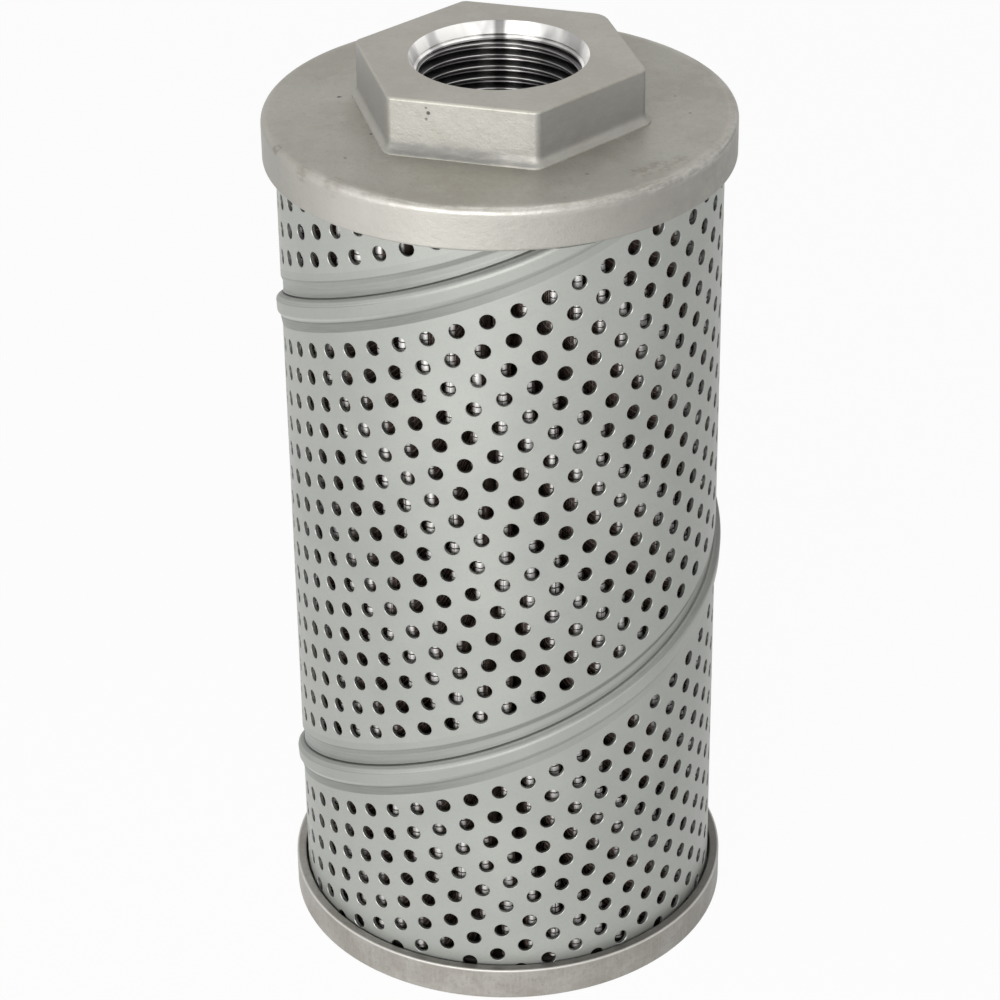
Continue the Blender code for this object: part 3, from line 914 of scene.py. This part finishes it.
def make_thread_groove():
    """Right-handed groove; at the back of the bore its first crest stands at a known depth."""
    rise_to_top = first_crest_depth - thread_pitch / 2
    start_turns = math.floor(rise_to_top / thread_pitch)
    groove = grow("thread_groove", helical_groove_growth(), {
        "Pitch": thread_pitch, "Turns": thread_turns, "Root Radius": thread_root_radius,
        "Crest Radius": port_bore_radius, "Start Angle": math.pi / 2, "Run Out": thread_run_out,
        "Top Height": overall_height - rise_to_top + start_turns * thread_pitch,
        "Steps": int(thread_turns * thread_steps_per_turn) + 1,
    })
    bm = opened(groove)
    bmesh.ops.holes_fill(bm, edges=bm.edges, sides=0)
    finish_mesh(bm, groove.data, cap_crease_degrees)
    return groove


def make_bottom_pan(pan):
    profile = rounded([
        (0, 0, 0),
        (cap_radius, 0, bottom_edge_radius),
        (cap_radius, bottom_rim_height, bottom_rim_edge_radius),
        (cap_inner_radius, bottom_rim_height, 0.0003),
        (cap_inner_radius, floor_z, 0.0002),
        (0, floor_z, 0),
    ])
    item = turned("bottom_pan", profile, cap_steps)
    item.data.materials.append(pan)
    return item


# Perforated tubes: cells with round holes on a staggered grid, wrapped round a cylinder

def perforated_growth():
    """Cells of sheet, each with one hole, set out on the flat strip and then rolled into a tube.

    On the flat strip X runs along it, Y down across it and Z outwards. A cell is a grid whose 17
    columns go round the hole and whose 5 rows go from its outer border over the hole's edge to its
    inner border.
    """
    tree, size = new_growth("Perforated tube", (
        "Hole Spacing", "Row Step", "Hole Radius", "Hole Bevel", "Wall", "Tube Radius", "Slope",
        "Start Height", "First Hole", "First Row", "Lowest", "Highest"), ("Columns", "Rows"))
    around = 16
    cell = grown(tree, "MeshGrid", {
        "Size X": float(around), "Size Y": 4.0, "Vertices X": around + 1, "Vertices Y": 5})
    x, y, _ = here(tree)
    step = x + around / 2
    ring = whole(tree, y + 2.0)
    angle = step * (2 * math.pi / around)
    bevel = size["Hole Bevel"]
    wall = size["Wall"]
    edge = size["Hole Radius"]
    border_x = border(step, size["Hole Spacing"], 0)
    border_y = border(step, size["Row Step"], around / 4)
    hole = chosen(tree, ring, [0.0, edge + bevel, edge, edge, 0.0])
    on_border = chosen(tree, ring, [1.0, 0.0, 0.0, 0.0, 1.0])
    level = chosen(tree, ring, [0.0, 0.0, bevel * -1.0, wall * -1.0, wall * -1.0])
    cell = placed(tree, cell, combined(
        tree,
        border_x * on_border + hole * angle.maths("COSINE"),
        border_y * on_border + hole * angle.maths("SINE"),
        level))

    last_column = size["Columns"] - 1.0
    last_row = size["Rows"] - 1.0
    spots = grown(tree, "MeshGrid", {
        "Size X": last_column, "Size Y": last_row, "Vertices X": size["Columns"],
        "Vertices Y": size["Rows"]})
    x, y, _ = here(tree)
    row = y + last_row / 2.0
    along = (size["First Hole"] + x + last_column / 2.0 + row / 2.0) * size["Hole Spacing"]
    across = size["First Row"] + row * size["Row Step"]
    spots = placed(tree, spots, combined(tree, along, across, 0.0))
    level = strip_level(size, *here(tree)[:2])
    margin = size["Hole Spacing"] * 0.75
    outside = (size["Lowest"] - margin - level).maths("MAXIMUM", level - size["Highest"] - margin)
    spots = grown(tree, "DeleteGeometry", {
        "Geometry": spots, "Selection": outside.maths("GREATER_THAN", 0.0)}, domain="POINT")
    cells = grown(tree, "InstanceOnPoints", {"Points": spots, "Instance": cell})
    cells = grown(tree, "RealizeInstances", {0: cells})

    strip = add_node(tree, "GeometryNodeJoinGeometry")
    tree.links.new(cells, strip.inputs[0])
    tree.links.new(size["Geometry"].socket, strip.inputs[0])
    named = grown(tree, "StoreNamedAttribute", {
        "Geometry": strip.outputs[0], "Name": "strip", "Value": grown(tree, "InputPosition"),
    }, data_type="FLOAT2", domain="CORNER")
    along, across, outwards = here(tree)
    slope = size["Slope"]
    turn = (along * slope.maths("COSINE") + across * slope.maths("SINE")) / size["Tube Radius"]
    level = strip_level(size, along, across)
    rolled = placed(tree, named, polar(tree, size["Tube Radius"] + outwards, turn, level))
    joined = grown(tree, "MergeByDistance", {"Geometry": rolled, "Distance": 1e-5})
    return end_growth(tree, joined, size["Material"])


def border(step, extent, quarter):
    """Place on the cell's border, which goes round a rectangle in 16 steps."""
    folded = ((step + (16 - quarter)).maths("MODULO", 16.0) - 8.0).maths("ABSOLUTE")
    level = ((folded - 4.0) / 2.0).maths("MAXIMUM", -1.0).maths("MINIMUM", 1.0)
    return level * extent / 2.0


def strip_level(size, along, across):
    """Height on the tube of a place on the flat strip."""
    slope = size["Slope"]
    return size["Start Height"] + along * slope.maths("SINE") - across * slope.maths("COSINE")


def make_seam_ribbon():
    """The flat strip's border with its lock seam. Its columns match the cells'."""
    first = first_hole_row - hole_row_step / 2
    last = first_hole_row + (hole_row_count - 0.5) * hole_row_step - strip_width
    outer = rounded([
        (last, 0, 0),
        (-recess_width, 0, 0.0002),
        (-recess_width + recess_slope_width, -recess_depth * 0.9, 0.0005),
        (-0.0012, -recess_depth, 0.002),
        (-lip_gap, -recess_depth * 0.85, 0),
        (-lip_gap, -recess_depth - lip_gap_depth, 0),
        (0, -recess_depth - lip_gap_depth, 0),
        (0, 0, 0.0003),
        (bead_rise_width, bead_height, 0.0010),
        (bead_width - bead_rise_width, bead_height - bead_dish, 0.0008),
        (bead_width, land_height, 0.0003),
        (bead_width + land_width, 0, 0.0002),
        (first, 0, 0),
    ], closed=False, guard=0.00002, steps=2)
    inner = [
        (last, -tube_wall),
        (-recess_width, -tube_wall),
        (-recess_width + recess_depth, -recess_depth - tube_wall),
        (bead_width, -recess_depth - tube_wall),
        (bead_width + recess_depth, -tube_wall),
        (first, -tube_wall),
    ]
    highest = (tube_top_z - seam_height_at_x + strip_width) / math.sin(seam_slope)
    step = hole_spacing / 4
    bm = bmesh.new()
    for section in (outer, inner):
        columns = []
        for column in range(math.floor(strip_start / step), math.ceil(highest / step) + 1):
            along = (column + 4 * first_hole_phase) * step
            columns.append([bm.verts.new((along, across, level)) for across, level in section])
        for left, right in zip(columns, columns[1:]):
            for point in range(len(section) - 1):
                bm.faces.new((left[point], right[point], right[point + 1], left[point + 1]))
    return plain_mesh("seam_ribbon", bm)


def make_perforated_tube(name, growth, sizes, zinc, base=None, pressed=()):
    """Roll a tube, cut both its ends flat, and press its bead where a cap's rim grips it."""
    tube = grow(name, growth, {
        **sizes, "Hole Bevel": hole_edge_bevel, "Lowest": tube_bottom_z, "Highest": tube_top_z}, zinc, base)
    bm = opened(tube)
    trim_flat(bm, tube_bottom_z, -1)
    trim_flat(bm, tube_top_z, 1)
    for rim_z, side in pressed:
        press_bead(bm, rim_z, side)
    finish_mesh(bm, tube.data, tube_crease_degrees)
    return tube


def trim_flat(bm, height, side):
    """Cut everything past a level away and close the wall there."""
    cut = bmesh.ops.bisect_plane(
        bm, geom=bm.verts[:] + bm.edges[:] + bm.faces[:], dist=1e-7,
        plane_co=(0, 0, height), plane_no=(0, 0, side), clear_outer=True)
    edges = [item for item in cut["geom_cut"] if isinstance(item, bmesh.types.BMEdge)]
    bmesh.ops.triangle_fill(bm, edges=edges, normal=(0, 0, side), use_beauty=True)


def press_bead(bm, rim_z, side):
    """Under a cap's rim the bead is pressed nearly flush."""
    for level in (rim_z, rim_z + side * press_blend / 2, rim_z + side * press_blend):
        bmesh.ops.bisect_plane(
            bm, geom=bm.verts[:] + bm.edges[:] + bm.faces[:], dist=1e-7,
            plane_co=(0, 0, level), plane_no=(0, 0, 1))
    for vert in bm.verts:
        risen = min(1.0, max(0.0, (vert.co.z - rim_z) * side / press_blend))
        limit = tube_radius + pressed_bead_height + (bead_height - pressed_bead_height) * risen
        radius = math.hypot(vert.co.x, vert.co.y)
        if risen < 1 and radius > limit:
            vert.co.x *= limit / radius
            vert.co.y *= limit / radius


def make_lock_seam_tube(growth, zinc):
    """One perforated strip wound in a helix, its edges folded together in a lock seam."""
    reach = tube_top_z - tube_bottom_z + 2 * strip_width
    columns = math.ceil(reach / (hole_spacing * math.sin(seam_slope))) + hole_row_count
    first_column = math.floor(strip_start / hole_spacing) - hole_row_count // 2
    return make_perforated_tube("lock_seam_tube", growth, {
        "Hole Spacing": hole_spacing, "Row Step": hole_row_step, "Hole Radius": hole_radius,
        "Wall": tube_wall, "Tube Radius": tube_radius, "Slope": seam_slope,
        "Start Height": seam_height_at_x, "First Hole": first_column + first_hole_phase,
        "First Row": first_hole_row, "Columns": columns, "Rows": hole_row_count,
    }, zinc, make_seam_ribbon(), ((bottom_rim_height + press_margin, 1), (top_rim_z - press_margin, -1)))


def make_core_tube(growth, zinc):
    """Plain perforated tube inside the pleats."""
    spacing = 2 * math.pi * core_radius / core_holes_around
    row_step = spacing * math.sqrt(3) / 2
    rows = math.ceil((tube_top_z - tube_bottom_z) / row_step) + 2
    return make_perforated_tube("perforated_core", growth, {
        "Hole Spacing": spacing, "Row Step": row_step, "Hole Radius": core_hole_radius,
        "Wall": core_wall, "Tube Radius": core_radius, "Slope": 0.0,
        "Start Height": tube_top_z, "First Hole": 0.0, "First Row": -row_step / 2,
        "Columns": core_holes_around, "Rows": rows,
    }, zinc)


# Pleated pack

def pleat_outline(depth, outer_steps, inner_steps):
    """One surface of the pack, a depth in from its outer face, from raw edge to raw edge."""
    pitch = 2 * math.pi / pleat_count
    outer_centre = pack_outer_radius - pleat_fold_opening / 2 - pack_thickness
    outer_radius = pleat_fold_opening / 2 + pack_thickness - depth
    root_opening = (pack_inner_radius * pitch - 2 * pack_thickness) / 2
    root_gap = (pack_inner_radius + pack_thickness) * pitch - 2 * (root_opening / 2 + pack_thickness)
    inner_radius = root_gap / 2 + depth
    inner_centre = pack_inner_radius + pack_thickness + root_gap / 2
    raw_edge = (pack_outer_radius - raw_edge_inset, outer_radius)
    points = []

    def add(angle, out, side):
        points.append(Vector((
            out * math.cos(angle) - side * math.sin(angle),
            out * math.sin(angle) + side * math.cos(angle))))

    for pleat in range(pleat_count + 1):
        angle = math.pi / 2 + pleat * pitch
        if pleat == 0:
            add(angle, *raw_edge)
        elif pleat == pleat_count:
            add(angle, raw_edge[0], -raw_edge[1])
            break
        else:
            for step in range(outer_steps + 1):
                bend = -math.pi / 2 + math.pi * step / outer_steps
                add(angle, outer_centre + outer_radius * math.cos(bend), outer_radius * math.sin(bend))
        for step in range(inner_steps + 1):
            bend = -math.pi / 2 + math.pi * step / inner_steps
            out = inner_centre - inner_radius * math.cos(bend)
            add(angle + pitch / 2, out, inner_radius * math.sin(bend))
    return points


def drifted(tree, geometry, size):
    """Pleats wander sideways and stand a little unevenly, but not at the side clip."""
    x, y, z = here(tree)
    radius = (x * x + y * y) ** 0.5
    azimuth = y.maths("ARCTAN2", x)
    drift = noise(tree, polar(tree, 1.0, azimuth, z * 9.0), 4.5, 2.0, 0.55)
    sink = noise(tree, polar(tree, 1.0, azimuth, z * 14.0 + 7.0), 9.0, 1.0, 0.5)
    free = (azimuth - math.pi / 2).maths("ABSOLUTE").above(0.10, 0.24)
    share = (radius - pack_inner_radius) / (pack_outer_radius - pack_inner_radius)
    shift = (drift - 0.5) * size["Drift"] * free * 2.0
    lowered = sink.above(0.3, 0.7) * size["Sink"] * free * share
    turned_to = azimuth + shift * share / radius
    return placed(tree, geometry, polar(tree, radius - lowered, turned_to, z))


def drifted_sheet_growth():
    tree, size = new_growth("Drifted sheet", ("Drift", "Sink"))
    return end_growth(tree, drifted(tree, size["Geometry"], size), size["Material"])


def end_wires(tree, path, points, size):
    """A wire of the path's form on every point, drifted like the pleats."""
    section = grown(tree, "CurvePrimitiveCircle", {"Resolution": 3, "Radius": size["Wire Radius"]})
    wire = grown(tree, "CurveToMesh", {"Curve": path, "Profile Curve": section, "Fill Caps": True})
    wires = grown(tree, "InstanceOnPoints", {"Points": points, "Instance": wire})
    wires = grown(tree, "RealizeInstances", {0: wires})
    return end_growth(tree, drifted(tree, wires, size), size["Material"])


def weft_growth():
    """Wires that follow the pleats, one above the other."""
    tree, size = new_growth("Weft wires", (
        "Wire Radius", "Pitch", "First Height", "Drift", "Sink"), ("Count",))
    path = grown(tree, "MeshToCurve", {0: size["Geometry"]})
    rows = grown(tree, "MeshLine", {
        "Count": size["Count"], "Start Location": combined(tree, 0.0, 0.0, size["First Height"]),
        "Offset": combined(tree, 0.0, 0.0, size["Pitch"])})
    return end_wires(tree, path, rows, size)


def warp_growth():
    """Upright wires, evenly spaced along the pleats' outline."""
    tree, size = new_growth("Warp wires", (
        "Wire Radius", "Pitch", "Bottom", "Top", "Drift", "Sink"), ("Joints",))
    path = grown(tree, "MeshToCurve", {0: size["Geometry"]})
    feet = grown(tree, "CurveToPoints", {"Curve": path, "Length": size["Pitch"]}, mode="LENGTH")
    upright = grown(tree, "CurvePrimitiveLine", {
        "Start": combined(tree, 0.0, 0.0, size["Bottom"]), "End": combined(tree, 0.0, 0.0, size["Top"])})
    upright = grown(tree, "ResampleCurve", {"Curve": upright, "Count": size["Joints"]})
    return end_wires(tree, upright, feet, size)


def outline_path(name, outline):
    bm = bmesh.new()
    verts = [bm.verts.new((*point, 0.0)) for point in outline]
    for first, second in zip(verts, verts[1:]):
        bm.edges.new((first, second))
    return plain_mesh(name, bm)


def make_pleated_cloth(name, depth, thickness, growth, material):
    """Closed pleated sheet with round folds and its own unrolled coordinates."""
    front = pleat_outline(depth, 8, 4)
    back = pleat_outline(depth + thickness, 8, 4)
    lengths = [0.0]
    for first, second in zip(front, front[1:]):
        lengths.append(lengths[-1] + (second - first).length)
    height = pack_top_z - pack_bottom_z
    levels = [pack_bottom_z + height * step / cloth_levels for step in range(cloth_levels + 1)]
    bm = bmesh.new()
    unrolled = bm.loops.layers.uv.new("cloth")

    def add_face(*corners):
        face = bm.faces.new([vert for vert, _ in corners])
        for loop, (_, place) in zip(face.loops, corners):
            loop[unrolled].uv = place

    columns = []
    for outer, inner, length in zip(front, back, lengths):
        rim = [(outer, level) for level in levels] + [(inner, level) for level in reversed(levels)]
        columns.append([(bm.verts.new((*point, level)), (length, level)) for point, level in rim])
    for left, right in zip(columns, columns[1:]):
        for step in range(len(left)):
            nxt = (step + 1) % len(left)
            add_face(left[step], right[step], right[nxt], left[nxt])
    for column in (columns[0], columns[-1]):
        for step in range(cloth_levels):
            add_face(column[step], column[step + 1], column[-step - 2], column[-step - 1])
    base = finish_mesh(bm, bpy.data.meshes.new(name), cloth_crease_degrees)
    return grow(name, growth, {"Drift": pleat_drift, "Sink": pleat_sink}, material, base)


def make_support_cloth(material):
    """Coarse wire cloth over the pleats: upright wires, and two sets of wires that follow the folds."""
    loose = {"Drift": pleat_drift, "Sink": pleat_sink, "Wire Radius": support_wire_radius}
    pitch = 2 * support_wire_pitch
    count = int((pack_top_z - pack_bottom_z - pitch) / pitch)
    growth = weft_growth()
    pieces = []
    for name, start in (("support_weft_odd", 0.5), ("support_weft_even", 1.5)):
        path = outline_path(name, pleat_outline(support_wire_radius, 4, 1))
        first = pack_bottom_z + start * support_wire_pitch
        rows = {**loose, "Pitch": pitch, "Count": count, "First Height": first}
        pieces.append(grow(name, growth, rows, material, path))
    path = outline_path("support_warp", pleat_outline(support_wire_radius * 2.4, 4, 2))
    feet = {**loose, "Pitch": support_wire_pitch, "Bottom": pack_bottom_z, "Top": pack_top_z, "Joints": 10}
    pieces.append(grow("support_warp", warp_growth(), feet, material, path))
    for piece in pieces:
        piece.data.shade_smooth()
    return pieces


# Stage

def make_camera():
    data = bpy.data.cameras.new("camera")
    data.lens = camera_lens
    data.sensor_width = 36.0
    data.clip_start = 0.01
    camera = new_object("camera", data)
    level = Matrix.Rotation(math.pi / 2 - camera_elevation, 4, "X")
    tilt = Matrix.Rotation(camera_pitch, 4, "X") @ Matrix.Rotation(camera_yaw, 4, "Y")
    stand = Matrix.Translation((
        0, -camera_distance * math.cos(camera_elevation),
        camera_aim_height + camera_distance * math.sin(camera_elevation)))
    camera.matrix_world = stand @ level @ tilt @ Matrix.Rotation(-camera_roll, 4, "Z")
    bpy.context.scene.camera = camera


def add_softbox(name, place, width, height, power):
    data = bpy.data.lights.new(name, "AREA")
    data.shape = "RECTANGLE"
    data.size = width
    data.size_y = height
    data.energy = power
    lamp = new_object(name, data)
    lamp.location = place
    lamp.rotation_euler = (Vector(light_aim) - Vector(place)).to_track_quat("-Z", "Y").to_euler()


def make_lights():
    add_softbox("key_softbox", (-0.45, -1.31, 0.42), 1.4, 0.8, 24.5)
    add_softbox("top_softbox", (-0.1, 0.10, 1.20), 0.8, 0.8, 2.0)
    add_softbox("left_fill", (-1.10, -0.20, 0.45), 0.4, 0.8, 0.1)


def shown_white(tree, lit, white_kind, share):
    """Mix of what lights the element and of plain white for the rays that see it directly."""
    path = add_node(tree, "ShaderNodeLightPath")
    camera, glossy, transmission = (
        Field(tree, path.outputs[name]) for name in ("Is Camera Ray", "Is Glossy Ray", "Is Transmission Ray"))
    seen = camera.maths("MAXIMUM", glossy).maths("MAXIMUM", transmission) * share
    white = add_node(tree, white_kind, {"Color": (1.0, 1.0, 1.0, 1.0), "Strength": 1.0})
    mix = add_node(tree, "ShaderNodeMixShader", {0: seen, 1: lit.outputs[0], 2: white.outputs[0]})
    return mix.outputs[0]


def make_world():
    world = bpy.data.worlds.new("studio")
    world.use_nodes = True
    tree = world.node_tree
    tree.nodes.clear()
    room = add_node(tree, "ShaderNodeBackground", {"Color": (0.06, 0.06, 0.06, 1.0), "Strength": 1.0})
    surface = shown_white(tree, room, "ShaderNodeBackground", 1.0)
    add_node(tree, "ShaderNodeOutputWorld", {"Surface": surface})
    bpy.context.scene.world = world


def make_floor():
    """Plain white floor: seen nearly white, with a soft shadow under the element."""
    material = bpy.data.materials.new("studio_floor")
    material.use_nodes = True
    tree = material.node_tree
    tree.nodes.clear()
    matt = add_node(tree, "ShaderNodeBsdfDiffuse", {"Color": (0.82, 0.82, 0.82, 1.0)})
    surface = shown_white(tree, matt, "ShaderNodeEmission", 0.96)
    add_node(tree, "ShaderNodeOutputMaterial", {"Surface": surface})
    bm = bmesh.new()
    bmesh.ops.create_grid(bm, x_segments=1, y_segments=1, size=3.0)
    floor = new_object("floor", plain_mesh("floor", bm))
    floor.data.materials.append(material)


def settle(piece, slot, *nodes):
    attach(piece, "root")
    if nodes:
        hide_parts(*nodes)


def dress(node, material):
    """Give a carried-over solid its finish."""
    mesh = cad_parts[node].data
    mesh.materials.clear()
    mesh.materials.append(material)


def build():
    cast = make_cast_finish()
    machined = make_machined_finish()
    zinc = make_galvanised_finish(streaked=True)
    wire = make_wire_finish()
    perforated = perforated_growth()
    drifting = drifted_sheet_growth()
    settle(make_end_cap(cast, machined), "cast_steel", "top_cap")
    settle(make_bottom_pan(make_pan_finish()), "turned_steel", "bottom_cap")
    settle(make_lock_seam_tube(perforated, zinc), "galvanised_steel", "outer_tube")
    core = make_core_tube(perforated, make_galvanised_finish(streaked=False))
    settle(core, "galvanised_steel", "core_tube")
    for piece in make_support_cloth(wire):
        settle(piece, "coarse_wire_cloth", "outer_support_mesh")
    medium = make_pleated_cloth(
        "filter_cloth", filter_cloth_depth, filter_cloth_thickness, drifting, make_fine_cloth_finish())
    settle(medium, "fine_wire_cloth", "filter_medium")
    inner = make_pleated_cloth(
        "inner_support_cloth", inner_cloth_depth, inner_cloth_thickness, drifting, make_inner_cloth_finish())
    settle(inner, "coarse_wire_cloth", "inner_support_mesh")
    dress("pack_seam_clip", make_clip_finish())
    resin = make_adhesive_finish()
    dress("top_potting", resin)
    dress("bottom_potting", resin)


bpy.context.scene.view_settings.view_transform = "Standard"
build()
make_camera()
make_lights()
make_world()
make_floor()
